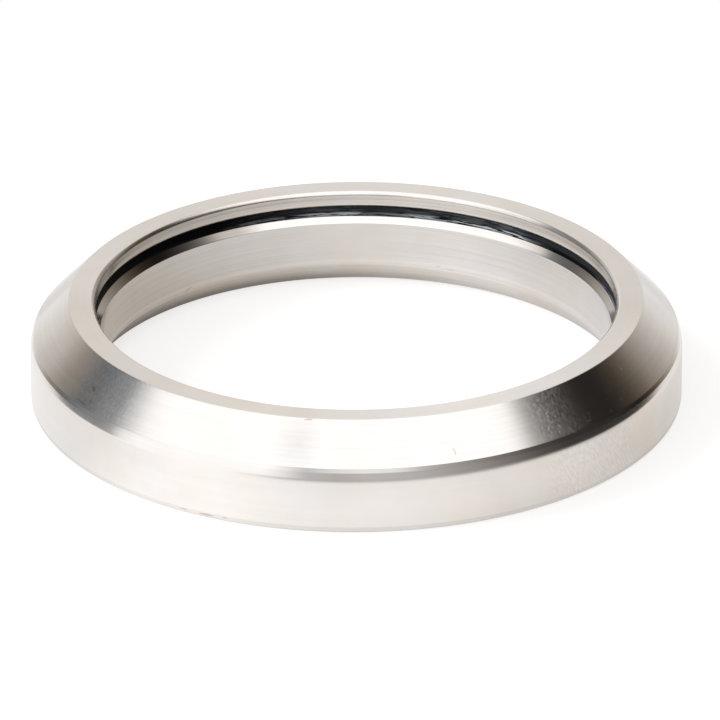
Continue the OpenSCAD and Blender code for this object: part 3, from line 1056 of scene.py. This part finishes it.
def floor_sheet():
    """The floor, which reaches as far as polished steel shows it."""
    left, right, front, back = -40, 40, -60, 70
    corners = [(left, front, 0), (right, front, 0), (right, back, 0), (left, back, 0)]
    mesh = bpy.data.meshes.new("floor")
    mesh.from_pydata(np.array(corners) * MM, [], [(0, 1, 2, 3)])
    mesh.materials.append(floor_material())
    add_object("floor", mesh)


def key_light():
    """Soft light from low on the left, which only matt surfaces see."""
    lamp = bpy.data.lights.new("key", "SUN")
    lamp.energy = 2.6
    lamp.color = (0.98, 1.0, 1.02)
    lamp.angle = math.radians(50)
    key = add_object("key", lamp)
    key.rotation_euler = (0.0, math.radians(-58), math.radians(-10))
    key.visible_glossy = False


def studio_world():
    """Walls round the bearing and a broad softbox overhead, as a ground ring mirrors them.

    WALLS holds the level against the turn from the front. OVERHEAD holds it against x / z, over
    the front half of the sky. Matt surfaces get less of it, because the key light is theirs alone.
    """
    world = bpy.data.worlds.new("studio")
    world.use_nodes = True
    nodes = Nodes(world.node_tree)
    way = nodes.add("ShaderNodeTexCoord").outputs["Generated"]
    axes = nodes.add("ShaderNodeSeparateXYZ", {0: way}).outputs
    around = nodes.compass(axes)
    height = nodes.times(nodes.maths("ARCSINE", axes[2]), DEGREES)

    front_rise = nodes.step(height, 2.0, 24.0, 0.0, 0.65)
    front = nodes.times(nodes.window(around, -12.0, 20.0, 8.0), front_rise)
    side_rise = nodes.step(height, 8.0, 28.0, 0.0, 0.4)
    side = nodes.times(nodes.window(around, -113.0, -100.0, 4.0), side_rise)
    walls = nodes.times(nodes.ramp(around, WALLS), nodes.plus(front, side, 1.0))
    rise = nodes.maths("MAXIMUM", axes[2], 0.05)
    overhead = nodes.ramp(nodes.maths("DIVIDE", axes[0], rise), OVERHEAD)
    before = nodes.step(nodes.maths("DIVIDE", axes[1], rise), 0.3, 0.5, 1.0, 0.0)
    level = nodes.mix(nodes.times(before, nodes.step(height, 27.0, 37.0)), walls, overhead)

    cool = nodes.window(around, -124.0, -62.0, 8.0)
    warm = nodes.mix(nodes.window(around, -80.0, 116.0, 6.0), 1.0, 0.25)
    warm = nodes.mix(cool, warm, -0.35)
    red = nodes.maths("POWER", level, nodes.minus(1.0, nodes.times(warm, 0.085)))
    blue = nodes.maths("POWER", level, nodes.plus(1.0, nodes.times(warm, 0.1)))
    light = nodes.add("ShaderNodeCombineColor", {0: red, 1: level, 2: blue}).outputs[0]
    path = nodes.add("ShaderNodeLightPath").outputs
    ambient = nodes.tint(path["Is Diffuse Ray"], WHITE, (0.72, 0.68, 0.64, 1.0))
    light = nodes.filtered(light, ambient)
    seen = nodes.tint(path["Is Camera Ray"], light, WHITE)
    back = nodes.add("ShaderNodeBackground", {"Color": seen})
    nodes.add("ShaderNodeOutputWorld", {"Surface": back.outputs[0]})
    bpy.context.scene.world = world


def place_camera(studio):
    """A camera that looks down at the bearing from the front."""
    lens = bpy.data.cameras.new("camera")
    lens.sensor_width = 36.0
    lens.lens = studio.focal
    lens.clip_start = 0.01
    camera = add_object("camera", lens)
    rise = studio.elevation
    right = Vector((1, 0, 0))
    up = Vector((0, math.sin(rise), math.cos(rise)))
    back = Vector((0, -math.cos(rise), math.sin(rise)))
    rolled_right = math.cos(studio.roll) * right - math.sin(studio.roll) * up
    rolled_up = math.sin(studio.roll) * right + math.cos(studio.roll) * up
    aim = studio.aim_right * rolled_right + studio.aim_up * rolled_up
    place = (aim + studio.distance * back) * MM
    turn = Matrix((rolled_right, rolled_up, back)).transposed()
    camera.matrix_world = Matrix.Translation(place) @ turn.to_4x4()
    bpy.context.scene.camera = camera


class BEARING_OT_stage(Operator):
    """Set up the floor, the studio light and the camera"""

    bl_idname = "bearing.stage"
    bl_label = "Stage"

    def execute(self, context):
        studio = context.scene.bearing_studio
        floor_sheet()
        key_light()
        studio_world()
        place_camera(studio)
        context.scene.view_settings.view_transform = "Standard"
        return {"FINISHED"}


OPERATORS = (
    BEARING_OT_stage,
    BEARING_OT_outer_ring,
    BEARING_OT_inner_ring,
    BEARING_OT_seals,
    BEARING_OT_rolling_set,
)


class BEARING_PT_panel(Panel):
    """The sidebar panel with the bearing's steps"""

    bl_idname = "BEARING_PT_panel"
    bl_label = "Headset Bearing"
    bl_space_type = "VIEW_3D"
    bl_region_type = "UI"
    bl_category = "Bearing"

    def draw(self, context):
        for operator in OPERATORS:
            self.layout.operator(operator.bl_idname)


def register():
    for group in PROPERTY_GROUPS.values():
        bpy.utils.register_class(group)
    for name, group in PROPERTY_GROUPS.items():
        setattr(bpy.types.Scene, name, PointerProperty(type=group))
    for kind in (*OPERATORS, BEARING_PT_panel):
        bpy.utils.register_class(kind)


def unregister():
    for kind in reversed((*OPERATORS, BEARING_PT_panel)):
        bpy.utils.unregister_class(kind)
    for name in PROPERTY_GROUPS:
        delattr(bpy.types.Scene, name)
    for group in reversed(tuple(PROPERTY_GROUPS.values())):
        bpy.utils.unregister_class(group)


def main():
    register()
    bpy.ops.bearing.stage()
    bpy.ops.bearing.outer_ring()
    bpy.ops.bearing.inner_ring()
    bpy.ops.bearing.seals()
    bpy.ops.bearing.rolling_set()


if __name__ == "__main__":
    main()
